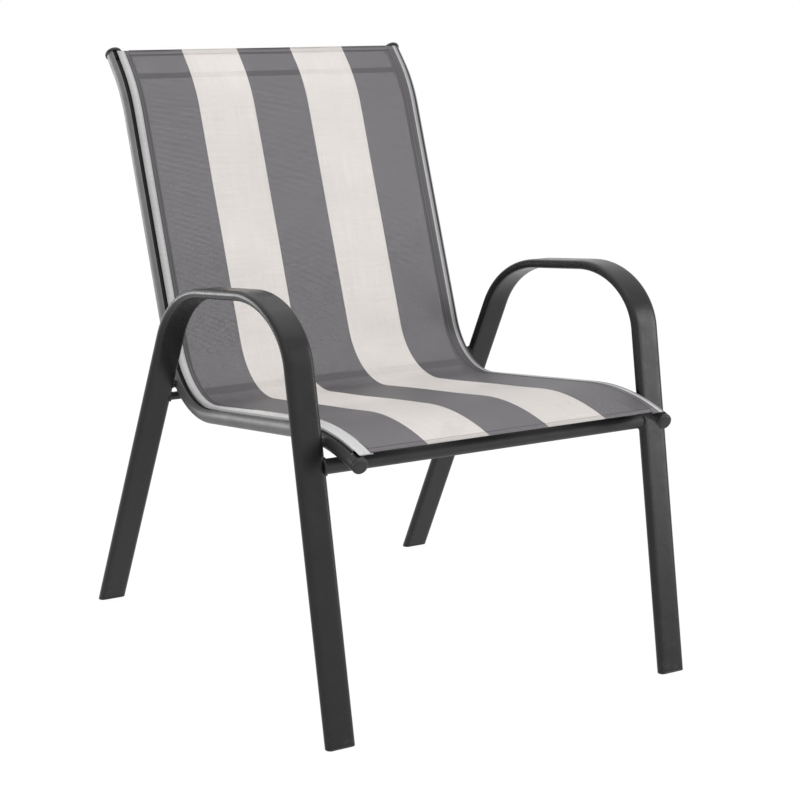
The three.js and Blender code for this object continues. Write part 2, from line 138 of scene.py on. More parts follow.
# Where the finishes change: the outermost pale stripes' edges and how much further in they lie over the
# seat, the start of the wrap over a rail, the creases of the hems, between which their painted light
# shows most, and the heights and depths between which the rails' painted shade fades.
PATTERN_HALF_WIDTH = 0.2
LEFT_OUTER_STRIPE = 0.229
RIGHT_OUTER_STRIPE = 0.2342
OUTER_STRIPE_REACH = (0.005, 0.009)
OUTER_STRIPE_FRONT = 0.13
RIGHT_REACH_SHARE = 0.25
WRAP_START = RAIL_HALF_SPACING - 0.04
TOP_HEM_CREASES = (0.0026, 0.0080)
CREASE_FADE = 0.0015
FOLD_FADE = 0.0005
FOLD_SHARE = 0.3
SCUFF_HEIGHT = 0.09
RAIL_FRONT_SHADE_FADE = (-0.27, -0.20)
RAIL_SEAT_SHADE_FADE = (0.37, 0.45)
DUST = (0.09, 0.088, 0.085, 1)

# The photo's camera: azimuth, elevation and roll in degrees, its place, and its lens.
CAMERA_ANGLES = (-32.393, 13.106, 0.870)
CAMERA_PLACE = np.array([-1.46746, -2.27403, 0.99679])
SENSOR_WIDTH = 36.0
FOCAL_PIXELS = 1995.994
PHOTO_PIXELS = 800

SIDES = {"left": -1, "right": 1}
ACROSS = np.array([1.0, 0.0, 0.0])
TINY = 1e-6


def shift_to_frame():
    """How far the chair moves in Y from these sizes to the frame: the rear crossbar's middle lies on the
    rear legs' centre line, so its height tells where on that line it is."""
    low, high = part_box("rear_crossbar")
    middle = (low + high) / 2
    share = middle.z / ARM_REAR[1]
    return middle.y - (REAR_FOOT_Y + (ARM_REAR[0] - REAR_FOOT_Y) * share)


SHIFT = np.array([0.0, shift_to_frame(), 0.0])


# ---- meshes


def grid_quads(rows, columns, wrap_rows=False, wrap_columns=False):
    """Quads between neighbouring points of a grid. A wrapped direction closes on itself."""
    row = np.arange(rows if wrap_rows else rows - 1)
    column = np.arange(columns if wrap_columns else columns - 1)
    row, column = (a.ravel() for a in np.meshgrid(row, column, indexing="ij"))
    next_row, next_column = (row + 1) % rows, (column + 1) % columns
    corners = ((row, column), (row, next_column), (next_row, next_column), (next_row, column))
    return np.stack([r * columns + c for r, c in corners], -1)


def end_fan(ring, centre):
    """Triangles from every edge of a closed ring of point numbers to one centre point."""
    return np.stack([ring, np.roll(ring, -1), np.full(len(ring), centre)], -1)


def corner_fan(ring):
    """Triangles that close a ring of point numbers from its first point."""
    return np.stack([np.full(len(ring) - 2, ring[0]), ring[1:-1], ring[2:]], -1)


def enclosed_volume(points, faces):
    """Six times the signed volume inside closed faces: the sum of each fan triangle's triple product."""
    total = 0.0
    for group in faces:
        corners = points[group]
        for i in range(1, group.shape[1] - 1):
            total += np.einsum("ij,ij->", corners[:, 0], np.cross(corners[:, i], corners[:, i + 1]))
    return total


def add_mesh(name, points, faces, material, uv=None, crease=math.radians(38), closed=True):
    """A mesh object from an array of points and arrays of quads or triangles, facing outwards, smooth
    but for creases. uv gives each point its place on the flat cloth."""
    faces = [np.asarray(group) for group in faces if len(group)]
    if closed and enclosed_volume(points, faces) < 0:
        faces = [group[:, ::-1] for group in faces]
    mesh = bpy.data.meshes.new(name)
    corners = np.concatenate([group.ravel() for group in faces]).astype(np.int32)
    sizes = np.concatenate([np.full(len(group), group.shape[1]) for group in faces])
    mesh.vertices.add(len(points))
    mesh.vertices.foreach_set("co", np.asarray(points, np.float32).ravel())
    mesh.loops.add(len(corners))
    mesh.loops.foreach_set("vertex_index", corners)
    mesh.polygons.add(len(sizes))
    mesh.polygons.foreach_set("loop_start", (np.cumsum(sizes) - sizes).astype(np.int32))
    mesh.update(calc_edges=True)
    if uv is not None:
        layer = mesh.uv_layers.new(name="cloth")
        layer.data.foreach_set("uv", np.asarray(uv, np.float32)[corners].ravel())
    mesh.shade_smooth()
    mesh.set_sharp_from_angle(angle=crease)
    mesh.materials.append(material)
    piece = bpy.data.objects.new(name, mesh)
    bpy.context.scene.collection.objects.link(piece)
    return piece


def settle(piece, slot, *nodes):
    """The piece rides with the chair and stands for the nodes named, which are hidden; the slot is not
    used.
    """
    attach(piece, "root")
    if nodes:
        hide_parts(*nodes)
    return piece


# ---- paths and sections


RAIL_CHAIN = (
    (SEAT_START, -1 / FRONT_DROP_RADIUS),
    (SEAT_RUN, 0),
    (SEAT_BEND_RADIUS * SEAT_BEND_ANGLE, 1 / SEAT_BEND_RADIUS),
    (BACK_RUN, 0),
    (TOP_BEND_RADIUS * TOP_BEND_ANGLE, -1 / TOP_BEND_RADIUS),
    (TOP_RUN, 0),
)
RAIL_LENGTH = sum(length for length, _ in RAIL_CHAIN)


def rail_at(distance):
    """Points (y, z) and headings of the rails' centre line at distances from its front end. The line is
    a chain of runs and arcs, each a length and a curvature: the heading grows by curvature times
    distance, and the point moves along the chord, which is the change of (sin, -cos) of the heading over
    the curvature. The end of the first arc lies at the front of the seat's run."""
    point, heading = np.zeros(2), SEAT_HEADING + FRONT_DROP_ANGLE
    points, headings = np.zeros((len(distance), 2)), np.zeros(len(distance))
    begin, anchor = 0.0, point
    for number, (length, curvature) in enumerate(RAIL_CHAIN):
        def travel(d):
            angle = heading + curvature * d
            if curvature == 0:
                return point + d[..., None] * np.array([math.cos(heading), math.sin(heading)]), angle
            turn = np.stack([np.sin(angle) - math.sin(heading), math.cos(heading) - np.cos(angle)], -1)
            return point + turn / curvature, angle

        here = distance >= begin
        points[here], headings[here] = travel(distance[here] - begin)
        end, angle = travel(np.array(length))
        if number == 0:
            anchor = end
        begin, point, heading = begin + length, end, float(angle)
    return points - anchor + np.array(SEAT_FRONT), headings


def rail_axes(distance):
    """Centre points, tangents and sling-side normals of the rails' line, in space, at X zero."""
    line, heading = rail_at(distance)
    nothing = np.zeros(len(heading))
    centre = np.column_stack([nothing, line]) + SHIFT
    along = np.column_stack([nothing, np.cos(heading), np.sin(heading)])
    out = np.column_stack([nothing, -np.sin(heading), np.cos(heading)])
    return centre, along, out


def spaced(start, end, step):
    """Distances from start to end, about a step apart."""
    return np.linspace(start, end, max(2, round((end - start) / step) + 1))


def carried(section, centre, side, out):
    """A section carried along a path: each of its points (a, b) goes to centre + a side + b out."""
    a, b = section[:, 0], section[:, 1]
    return centre[:, None] + a[None, :, None] * side[:, None] + b[None, :, None] * out[:, None]


def arc(radius, start, end, steps, centre=(0.0, 0.0)):
    """Points on a circle between two angles."""
    angle = np.linspace(start, end, steps + 1)
    return np.array(centre) + radius * np.column_stack([np.cos(angle), np.sin(angle)])


def circle(radius, steps):
    """Points once round a circle."""
    return arc(radius, 0, 2 * math.pi, steps)[:-1]


def level(x, y):
    """Points at places x, all at one y."""
    return np.column_stack([x, np.full(len(x), y)])


def oval(width, thickness, round_steps=14, flat_steps=6):
    """A flat oval: two half circles of the thickness, joined by straight sides."""
    radius, reach = thickness / 2, (width - thickness) / 2
    half = arc(radius, -math.pi / 2, math.pi / 2, round_steps, (reach, 0))
    flat = np.linspace(reach, -reach, flat_steps + 1)[1:-1]
    one = np.vstack([half, level(flat, radius)])
    return np.vstack([one, -one])


def tube_surface(outer, inner):
    """A hollow open tube: the outer grid's rows, then the inner grid's back again, closed into one ring
    of rows, so that the walls' ends are the strips where outer meets inner."""
    rows = np.concatenate([outer, inner[::-1]])
    count, columns = rows.shape[:2]
    return rows.reshape(-1, 3), [grid_quads(count, columns, True, True)]


def solid_of_rings(rings):
    """A closed solid: rings of points in order, with each end ring closed to its middle."""
    count, columns = rings.shape[:2]
    points = np.vstack([rings.reshape(-1, 3), rings[[0, -1]].mean(1)])
    first = end_fan(np.arange(columns)[::-1], count * columns)
    last = end_fan(np.arange(columns) + (count - 1) * columns, count * columns + 1)
    return points, [grid_quads(count, columns, False, True), first, last]


# ---- hoops


def hoop_line(side):
    """The hoop's centre line and its unit tangents: runs between corners, with cubic bends whose handles
    are 4/3 tan(turn/4) / tan(turn/2) of the reach, which is a circle's where the reaches are alike."""
    x = side * ARM_HALF_SPACING
    corners = np.array([
        [x - side * FRONT_FOOT_INSET, FRONT_FOOT_Y, 0.0],
        [x, *ARM_FRONT],
        [x, *ARM_REAR],
        [x, REAR_FOOT_Y, 0.0],
    ])
    line, heading = [corners[:1]], []
    for before, corner, after, reaches in (
        (corners[0], corners[1], corners[2], FRONT_BEND_REACHES),
        (corners[1], corners[2], corners[3], REAR_BEND_REACHES),
    ):
        come = (corner - before) / np.linalg.norm(corner - before)
        go = (after - corner) / np.linalg.norm(after - corner)
        turn = math.acos(float(come @ go))
        share = 4 / 3 * math.tan(turn / 4) / math.tan(turn / 2)
        start, end = corner - come * reaches[0], corner + go * reaches[1]
        from_start, from_end = (corner - start) * share, (corner - end) * share
        t = np.linspace(0, 1, 49)[:, None]
        s = 1 - t
        line.append(s ** 3 * start + 3 * s ** 2 * t * (start + from_start)
                    + 3 * s * t ** 2 * (end + from_end) + t ** 3 * end)
        middle = end + from_end - start - from_start
        slope = s ** 2 * from_start + 2 * s * t * middle - t ** 2 * from_end
        heading += [come[None], slope] if not heading else [slope]
    heading = np.vstack([*heading, corners[3:] - corners[2]])
    return np.vstack([*line, corners[3:]]) + SHIFT, heading / np.linalg.norm(heading, axis=1, keepdims=True)


def tube_axes(heading):
    """The axes of a tube's section: across the chair but square to the tube, and out of the bends."""
    side = ACROSS - heading * heading[:, :1]
    side /= np.linalg.norm(side, axis=1, keepdims=True)
    return side, np.cross(side, heading)


def cut_level(row, heading, height):
    """A row of points slid along the tube to one height."""
    return row + heading * ((height - row[:, 2:]) / heading[2])


def hoop_grid(side, section):
    """A section carried along the hoop's line, with both ends cut level just over the soles."""
    line, heading = hoop_line(side)
    across, out = tube_axes(heading)
    rows = carried(section, line, across, out)
    floor = SOLE_HEIGHT + FIT_GAP
    rows[0] = cut_level(rows[0], heading[0], floor)
    rows[-1] = cut_level(rows[-1], heading[-1], floor)
    return rows


def long_runs_divided(rows, step=0.012):
    """Rows added in the straight runs, so that no quad is much longer than a step."""
    gaps = np.linalg.norm(np.diff(rows.mean(1), axis=0), axis=1)
    place = [np.arange(i, i + 1, 1 / max(1, round(gap / step))) for i, gap in enumerate(gaps)]
    place = np.append(np.concatenate(place), len(rows) - 1)
    low = np.minimum(place.astype(int), len(rows) - 2)
    share = (place - low)[:, None, None]
    return rows[low] * (1 - share) + rows[low + 1] * share


def make_hoop(name, side, material):
    """A hollow tube whose outside and bore are flat ovals carried along the hoop's line."""
    outer = long_runs_divided(hoop_grid(side, oval(HOOP_WIDTH, HOOP_THICKNESS)))
    bore = oval(HOOP_WIDTH - 2 * HOOP_WALL, HOOP_THICKNESS - 2 * HOOP_WALL)
    points, faces = tube_surface(outer, long_runs_divided(hoop_grid(side, bore)))
    return settle(add_mesh(f"{name}_hoop_tube", points, faces, material), "frame", f"{name}_side_hoop")


def leg_line(side, end):
    """A leg's foot on the floor and its unit heading up the leg."""
    line, heading = hoop_line(side)
    return (line[0], heading[0]) if end == "front" else (line[-1], -heading[-1])


def make_foot_plug(name, end, side, material):
    """A sole with rounded edges under the tube, then a ribbed stem up its bore: level ovals, each slid
    along the leg to its height."""
    foot, heading = leg_line(side, end)
    across, out = (axis[0] for axis in tube_axes(heading[None]))
    quarter = np.linspace(0, math.pi / 2, 6)
    inset, low = SOLE_EDGE * (1 - np.sin(quarter)), SOLE_EDGE * (1 - np.cos(quarter))
    sole = [*zip(inset, low), *zip(inset[::-1], SOLE_HEIGHT - low[::-1])]
    stem_inset = HOOP_WALL + FIT_GAP
    ribs = np.linspace(SOLE_HEIGHT, SOLE_HEIGHT + FOOT_STEM_LENGTH, 11)
    stem = [(stem_inset + (SOLE_EDGE / 2 if i % 2 else 0), height) for i, height in enumerate(ribs)]
    rings = []
    for inset, height in [*sole, *stem]:
        section = oval(HOOP_WIDTH - 2 * inset, HOOP_THICKNESS - 2 * inset)
        row = foot + section[:, :1] * across + section[:, 1:] * out
        rings.append(cut_level(row, heading, height))
    points, faces = solid_of_rings(np.array(rings))
    piece = add_mesh(f"{end}_{name}_plug", points, faces, material, crease=math.radians(50))
    return settle(piece, "plastic", f"{end}_{name}_foot_plug")


# ---- rails


def rail_section(side):
    """The rail's wall: a ring with a slot on its sling side, turned outwards, and rounded lips. The
    outer arc runs from lip to lip, the lip turns on half the wall, and the inner arc runs back."""
    middle = math.pi / 2 - side * SLOT_ANGLE
    lip = RAIL_WALL / 2
    neutral = RAIL_RADIUS - lip
    half = math.asin((SLOT_WIDTH / 2 + lip) / neutral)
    near, far = middle + half, middle + 2 * math.pi - half

    def turn_at(angle, begin):
        centre = neutral * np.array([math.cos(angle), math.sin(angle)])
        return arc(lip, begin, begin + math.pi, 6, centre)[1:-1]

    return (arc(RAIL_RADIUS, near, far, 60), turn_at(far, far),
            arc(RAIL_BORE, far, near, 60), turn_at(near, near + math.pi))


def make_rail(name, side, material):
    """The slotted wall carried along the rail's line. Its ends are closed by quads across the wall and a
    fan in each rounded lip."""
    outer, far_lip, inner, near_lip = rail_section(side)
    section = np.vstack([outer, far_lip, inner, near_lip])
    centre, _, out = rail_axes(spaced(0, RAIL_LENGTH, 0.004))
    centre = centre + side * RAIL_HALF_SPACING * ACROSS
    grid = carried(section, centre, ACROSS[None], out)
    rows, columns = grid.shape[:2]
    ring = np.arange(len(outer))
    back = len(outer) + len(far_lip) + len(inner) - 1 - ring
    end = [
        np.stack([ring[:-1], ring[1:], back[1:], back[:-1]], -1),
        corner_fan(np.arange(len(outer) - 1, len(outer) + len(far_lip) + 1)),
        corner_fan(np.arange(columns - len(near_lip) - 1, columns + 1) % columns),
    ]
    last_row = (rows - 1) * columns
    faces = [grid_quads(rows, columns, False, True), *(group[:, ::-1] for group in end),
             *(group + last_row for group in end)]
    piece = add_mesh(f"{name}_rail_tube", grid.reshape(-1, 3), faces, material)
    return settle(piece, "rail", f"{name}_sling_rail")


def revolved(profile, origin, axis, steps=56):
    """A profile of (radius, height) turned about a unit axis through the origin, with closed ends."""
    ring = circle(1, steps) @ np.array([ACROSS, np.cross(axis, ACROSS)])
    return solid_of_rings(origin + profile[:, :1, None] * ring + profile[:, 1:, None] * axis)


def make_rail_cap(name, end, side, material):
    """A rounded head that covers the tube's end, on a ribbed stem in its bore, turned on its axis. The
    stem is straight, so it is slimmer by what the bent tube drifts from it."""
    top = end == "top"
    height = TOP_CAP_HEIGHT if top else FRONT_CAP_HEIGHT
    centre, along, _ = rail_axes(np.array([RAIL_LENGTH if top else 0.0]))
    axis = along[0] if top else -along[0]
    origin = centre[0] + side * RAIL_HALF_SPACING * ACROSS
    drift = CAP_STEM_LENGTH ** 2 / (2 * FRONT_DROP_RADIUS)
    stem = RAIL_BORE - 2 * FIT_GAP - drift
    rib_heights = np.linspace(-CAP_STEM_LENGTH, 0, 13)[:-1]
    ribs = [(stem - (0 if i % 2 else CAP_RIB_DEPTH), h) for i, h in enumerate(rib_heights)]
    foot = SOLE_EDGE / 4
    head = RAIL_RADIUS + (TOP_CAP_OVERHANG if top else 0)
    dome = arc(CAP_EDGE, 0, math.pi / 2, 10, (head - CAP_EDGE, FIT_GAP + height - CAP_EDGE))
    profile = np.array([
        *ribs, (stem - CAP_RIB_DEPTH, FIT_GAP), (head - foot, FIT_GAP), (head, FIT_GAP + foot), *dome,
    ])
    points, faces = revolved(profile, origin, axis)
    piece = add_mesh(f"{end}_{name}_cap", points, faces, material, crease=math.radians(50))
    return settle(piece, "plastic", f"{end}_{name}_rail_cap")


# ---- crossbars, spacers and welds


def bar_middle(bar):
    """The middle of a crossbar or spacer in the frame."""
    low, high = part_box(bar)
    return np.array((low + high) / 2)


def leg_edge(height, offset, end):
    """How far out, in X, a leg's inner edge is at a height, for points offset from the leg's middle
    across its thickness: the edge is a half circle, so it falls back as the offset grows."""
    foot, heading = leg_line(1, end)
    middle = foot[0] + heading[0] / heading[2] * (height - foot[2])
    radius = HOOP_THICKNESS / 2
    return middle - (HOOP_WIDTH / 2 - radius) - np.sqrt(np.clip(radius ** 2 - offset ** 2, 0, None))


def leg_reach(centre, ring, end):
    """How far out each point of a bar's circle goes before it meets the leg."""
    _, heading = leg_line(1, end)
    out = np.array([-heading[2], heading[1]]) / math.hypot(heading[1], heading[2])
    return leg_edge(centre[2] + ring[:, 1], ring @ out, end) - FIT_GAP


def rail_side(offset):
    """How far the rail's round side is from its middle, in X, for points offset from its middle plane."""
    return np.sqrt((RAIL_RADIUS + FIT_GAP) ** 2 - offset ** 2)


def across_chair(x, centre, section):
    """Points at distances x across the chair: a section's (y, z) points about a centre."""
    return np.stack([x, centre[1] + section[:, 0] + 0 * x, centre[2] + section[:, 1] + 0 * x], -1)


def make_weld(name, curve, radius, seed, material):
    """A weld bead: a round section along a closed curve, its radius rippled as the weld was laid."""
    count, steps = len(curve), 10
    heading = np.roll(curve, -1, 0) - np.roll(curve, 1, 0)
    heading /= np.linalg.norm(heading, axis=1, keepdims=True)
    out = curve - curve.mean(0)
    out -= heading * np.einsum("ij,ij->i", out, heading)[:, None]
    out /= np.linalg.norm(out, axis=1, keepdims=True)
    phase = np.linspace(0, 2 * math.pi, count, endpoint=False)[:, None]
    swell = radius * (1 + 0.14 * np.sin(15 * phase + seed) + 0.06 * np.sin(4 * phase + 2 * seed))
    grid = carried(circle(1, steps), curve, swell * out, swell * np.cross(heading, out))
    faces = [grid_quads(count, steps, True, True)]
    settle(add_mesh(f"{name}_weld", grid.reshape(-1, 3), faces, material), "frame")


def make_bar(name, radius, reach_of, weld_radius, seed, material):
    """A round tube across the chair with coped ends, where each point of its circle stops at its own
    reach, and a bead of weld round each end."""
    centre, ring = bar_middle(name), circle(radius, 72)
    reach = reach_of(centre, ring)
    x = np.linspace(-1, 1, 41)[:, None] * reach
    bore = ring * (1 - BAR_WALL / radius)
    points, faces = tube_surface(across_chair(x, centre, ring), across_chair(x, centre, bore))
    settle(add_mesh(f"{name}_tube", points, faces, material), "frame", name)
    for side_name, side in SIDES.items():
        curve = across_chair(side * reach, centre, ring)
        make_weld(f"{name}_{side_name}", curve, weld_radius, side + seed, material)


def make_leg_bar(name, end, radius, material):
    """A bar between the legs, which goes no further round their edges than the weld bites."""
    def reach_of(centre, ring):
        limit = leg_edge(centre[2], 0.0, end) + WELD_BITE
        return np.minimum(leg_reach(centre, ring, end), limit)

    make_bar(name, radius, reach_of, WELD_RADIUS, len(name), material)


def make_top_bar(name, material):
    """A bar between the rails' round sides."""
    def reach_of(_, ring):
        _, _, out = rail_axes(np.array([RAIL_LENGTH - TOP_BAR_FROM_END]))
        return RAIL_HALF_SPACING - rail_side(ring @ out[0, 1:])

    make_bar(name, TOP_BAR_RADIUS, reach_of, TOP_WELD_RADIUS, 0, material)


def make_spacer(name, end, side, material):
    """A round stub between rail and leg: each point of its circle runs from the rail's side to the
    leg's edge. A bead of weld goes round both joints."""
    spacer = f"{end}_{name}_rail_spacer"
    centre, ring = bar_middle(spacer), circle(SPACER_RADIUS, 40)
    outer = leg_reach(centre, ring, end)
    rail_centre, _, rail_out = rail_axes(spaced(0, RAIL_LENGTH, 0.001))
    nearest = np.argmin(np.linalg.norm(rail_centre[:, 1:] - centre[1:], axis=1))
    offset = (ring + (centre - rail_centre[nearest])[1:]) @ rail_out[nearest, 1:]
    inner = RAIL_HALF_SPACING + rail_side(offset)
    share = np.linspace(0, 1, 7)[:, None]
    x = side * (inner * (1 - share) + outer * share)
    points, faces = solid_of_rings(across_chair(x, centre, ring))
    settle(add_mesh(f"{end}_{name}_stub", points, faces, material), "frame", spacer)
    for joint, reach in (("leg", outer), ("rail", inner)):
        curve = across_chair(side * reach, centre, ring)
        make_weld(f"{end}_{name}_{joint}", curve, SPACER_WELD_RADIUS, side + len(joint), material)


# ---- sling


def sling_half_line():
    """The cloth's line across the chair on the right, from its middle out: flat to the rail, over the
    crest, down the slot, round the rod and back underneath to the hem's edge. A layer whose side of the
    slot begins before the crest turns straight down into it. Gives the points and, for each, the number
    of its part: 0 flat, 1 crest, 2 pocket round the rod, 3 crest of the lower layer, 4 side hem."""
    low, high = SLING_UNDERSIDE + SLING_THICKNESS / 2, SLING_UNDERSIDE + 1.5 * SLING_THICKNESS
    inward = SLOT_WIDTH / 2 - FIT_GAP
    low_lateral, high_lateral = inward - SLING_THICKNESS / 2, inward - 1.5 * SLING_THICKNESS

    def at(along, lateral):
        return np.column_stack([
            RAIL_HALF_SPACING + along * math.sin(SLOT_ANGLE) - lateral * math.cos(SLOT_ANGLE),
            along * math.cos(SLOT_ANGLE) + lateral * math.sin(SLOT_ANGLE),
        ])

    def crest(radius, lateral):
        end = SLOT_ANGLE - math.asin(lateral / radius)
        if end <= 0:
            corner = (radius - lateral * math.sin(SLOT_ANGLE)) / math.cos(SLOT_ANGLE)
            return at(np.array([corner]), lateral)
        angle = np.linspace(0, end, 12)
        return np.column_stack([RAIL_HALF_SPACING + radius * np.sin(angle), radius * np.cos(angle)])

    begin, end = math.asin(high_lateral / POCKET_RADIUS), math.asin(low_lateral / POCKET_RADIUS)
    turn = np.linspace(-begin, 2 * math.pi - end, 30)
    pocket = at(ROD_OFFSET + POCKET_RADIUS * np.cos(turn), -POCKET_RADIUS * np.sin(turn))
    to_hem = np.linspace(0, HEM_INNER_EDGE, 55)
    over_hem = np.linspace(HEM_INNER_EDGE, RAIL_HALF_SPACING, 7)[1:-1]
    hem = np.linspace(RAIL_HALF_SPACING, RAIL_HALF_SPACING - SIDE_HEM_WIDTH, 7)[1:]
    parts = [level(np.append(to_hem, over_hem), high), crest(high, high_lateral), pocket,
             crest(low, low_lateral)[::-1], level(hem, low)]
    return np.vstack(parts), np.repeat(np.arange(len(parts)), [len(part) for part in parts])


def measured(line):
    """Distance along a line of points from its start."""
    return np.concatenate([[0.0], np.cumsum(np.linalg.norm(np.diff(line, axis=0), axis=1))])


def soft_ripple(u, v):
    """Slight unevenness of taut cloth: a few long waves across and along it, no more than a hair high,
    that fade out towards the rails."""
    hold = np.clip(1 - (u / (RAIL_HALF_SPACING - 0.006)) ** 4, 0, 1)
    waves = (
        np.sin(23 * u + 9.1 * v + 0.4) * np.sin(31 * v + 1.3)
        + 0.7 * np.sin(47 * u - 13 * v + 2.1) * np.sin(19 * v + 0.2)
        + 0.5 * np.sin(71 * u + 5.0) * np.sin(43 * v + 3.1)
    )
    return RIPPLE_HEIGHT * waves * hold


def make_sling(material, pocket_material):
    """The cloth's line across the chair carried along the rails, with its points' distances along the
    line and along the rails as its place on the flat cloth. Near both ends the pocket is cut away, and
    in front the edge between the side hems is set back. The pocket round the rod has its own finish,
    with painted shade and light."""
    half, part = sling_half_line()
    length = measured(half)
    line = np.vstack([half[::-1] * (-1, 1), half[1:]])
    part = np.concatenate([part[::-1], part[1:]])
    u = np.concatenate([-length[::-1], length[1:]])
    rod_end = RAIL_LENGTH - SPLINE_END_MARGIN
    v = spaced(FRONT_EDGE, RAIL_LENGTH - TOP_END_MARGIN, 0.005)
    v = np.unique([*v, FRONT_END_MARGIN, SPLINE_END_MARGIN, rod_end])
    centre, _, out = rail_axes(v)
    lift = soft_ripple(u, v[:, None]) * (part == 0)
    grid = carried(line, centre, ACROSS[None], out) + lift[..., None] * out[:, None]
    quads = grid_quads(len(v), len(u))
    row, column = np.divmod(quads[:, 0], len(u))
    in_pocket = (part[column] == 2) | (part[column + 1] == 2)
    at_end = (v[row] < SPLINE_END_MARGIN - TINY) | (v[row] > rod_end - TINY)
    between = np.maximum(abs(u[column]), abs(u[column + 1])) < HEM_INNER_EDGE + TINY
    set_back = between & (v[row] < FRONT_EDGE - TINY)
    kept = ~(in_pocket & at_end) & ~set_back
    quads, in_pocket = quads[kept], in_pocket[kept]
    used = np.zeros(len(v) * len(u), bool)
    used[quads.ravel()] = True
    number = np.cumsum(used) - 1
    uv = np.stack(np.meshgrid(u, v), -1).reshape(-1, 2)
    sling = add_mesh(
        "sling_cloth", grid.reshape(-1, 3)[used], [number[quads]], material,
        uv=uv[used], crease=math.radians(80), closed=False,
    )
    sling.data.materials.append(pocket_material)
    sling.data.polygons.foreach_set("material_index", in_pocket.astype(np.int32))
    wall = sling.modifiers.new("thickness", "SOLIDIFY")
    wall.thickness = YARN_THICKNESS
    wall.offset = 0
    settle(sling, "sling", "sling")
    return sling, 2 * length[-1], v[-1] - v[0]


def make_end_hem(name, start, length, at_top, material):
    """The fold under an end of the sling: a flat strip below the cloth, whose outer edge turns up in
    front of it. Its section, in distance along the rails and height over them, is carried across."""
    low, high = SLING_UNDERSIDE + LAYER_SPACE / 2, SLING_TOP
    between = SLING_UNDERSIDE + SLING_THICKNESS - LAYER_SPACE / 2
    section = np.vstack([
        level(np.linspace(-length, 0, 7)[:-1], low),
        arc((high - low) / 2, -math.pi / 2, math.pi / 2, 12, (0, (high + low) / 2)),
        np.column_stack([np.zeros(3), np.linspace(high, between, 5)[1:-1]]),
        level(np.linspace(0, -length, 7), between),
    ])
    edge = start + section[:, 0] * (1 if at_top else -1)
    centre, _, out = rail_axes(edge)
    x = np.linspace(-HEM_INNER_EDGE, HEM_INNER_EDGE, 81)
    rings = (centre + section[:, 1:] * out)[None] + x[:, None, None] * ACROSS
    points, faces = solid_of_rings(rings)
    flat = np.stack(np.meshgrid(x, edge, indexing="ij"), -1).reshape(-1, 2)
    piece = add_mesh(name, points, faces, material, uv=np.vstack([flat, level(x[[0, -1]], start)]))
    return settle(piece, "sling")


def stitches(places, along, side, up):
    """Short thread capsules: for each stitch, rings whose centres run along it and whose radius follows
    a flattened half circle, half sunk in the cloth."""
    t = np.linspace(-1, 1, 7)
    radius = THREAD_RADIUS * np.sqrt(np.clip(1 - np.abs(t) ** 3, 0.02, 1))
    section = circle(1, 6)
    along, side, up = (axis[:, None, None] for axis in (along, side, up))
    lengthwise = (STITCH_LENGTH / 2) * t[:, None, None] * along
    lift = THREAD_RADIUS * (0.55 - 0.75 * t ** 4)[:, None, None] * up
    ring = section[:, :1] * side + section[:, 1:] * up
    grid = places[:, None, None] + lengthwise + lift + radius[:, None, None] * ring
    count, rings, steps = grid.shape[:3]
    first = np.arange(steps)
    caps = np.vstack([corner_fan(first[::-1]), corner_fan(first + (rings - 1) * steps)])
    shift = rings * steps * np.arange(count)[:, None, None]
    quads = (grid_quads(rings, steps, False, True) + shift).reshape(-1, 4)
    return grid.reshape(-1, 3), [quads, (caps + shift).reshape(-1, 3)]


def make_stitching(material):
    """Lines of stitches along both side hems and across both end hems, in the sling's upper face. Each
    stitch has its place on the flat cloth, and runs along the sling or across it."""
    seam = HEM_INNER_EDGE + SIDE_SEAM_INSET
    along_sling = np.arange(FRONT_END_MARGIN + SEAM_END_MARGIN,
                            RAIL_LENGTH - TOP_END_MARGIN - SEAM_END_MARGIN, STITCH_PITCH)
    across_sling = np.arange(-seam + STITCH_PITCH / 2, seam - STITCH_PITCH / 4, STITCH_PITCH)
    front = FRONT_EDGE + FRONT_HEM_LENGTH - END_SEAM_INSET
    top = RAIL_LENGTH - TOP_END_MARGIN - TOP_HEM_LENGTH + END_SEAM_INSET
    spots = np.vstack([
        *(level(along_sling, side * seam)[:, ::-1] for side in SIDES.values()),
        *(level(across_sling, place) for place in (front, top)),
    ])
    u, v = spots.T
    centre, along, out = rail_axes(v)
    places = centre + u[:, None] * ACROSS + (SLING_TOP + soft_ripple(u, v))[:, None] * out
    runs_along = (np.arange(len(spots)) < 2 * len(along_sling))[:, None]
    points, faces = stitches(places, np.where(runs_along, along, ACROSS),
                             np.where(runs_along, ACROSS, along), out)
    uv = np.repeat(spots, len(points) // len(spots), axis=0)
    return settle(add_mesh("sling_stitching", points, faces, material, uv=uv), "sling")


# ---- finishes


def node(tree, kind, inputs=None, **settings):
    """A shader node with its settings, and its inputs set to values or linked to other nodes' outputs."""
    made = tree.nodes.new(kind)
    for key, value in settings.items():
        setattr(made, key, value)
    for key, value in (inputs or {}).items():
        if isinstance(value, bpy.types.NodeSocket):
            tree.links.new(value, made.inputs[key])
        else:
            made.inputs[key].default_value = value
    return made


def maths(tree, operation, a, b=0.0, c=0.0):
    return node(tree, "ShaderNodeMath", {0: a, 1: b, 2: c}, operation=operation).outputs[0]


def times(tree, a, b):
    return maths(tree, "MULTIPLY", a, b)


def largest(tree, value, *others):
    for other in others:
        value = maths(tree, "MAXIMUM", value, other)
    return value


def rest(tree, share):
    """What a share leaves of 1."""
    return maths(tree, "SUBTRACT", 1.0, share)


def blended(tree, share, a, b):
    """A number a share of the way from a to b."""
    return maths(tree, "ADD", times(tree, share, b), times(tree, rest(tree, share), a))


def with_shares(tree, *shares):
    """1 plus each share times its amount."""
    total = 1.0
    for share, amount in shares:
        total = maths(tree, "MULTIPLY_ADD", share, amount, total)
    return total


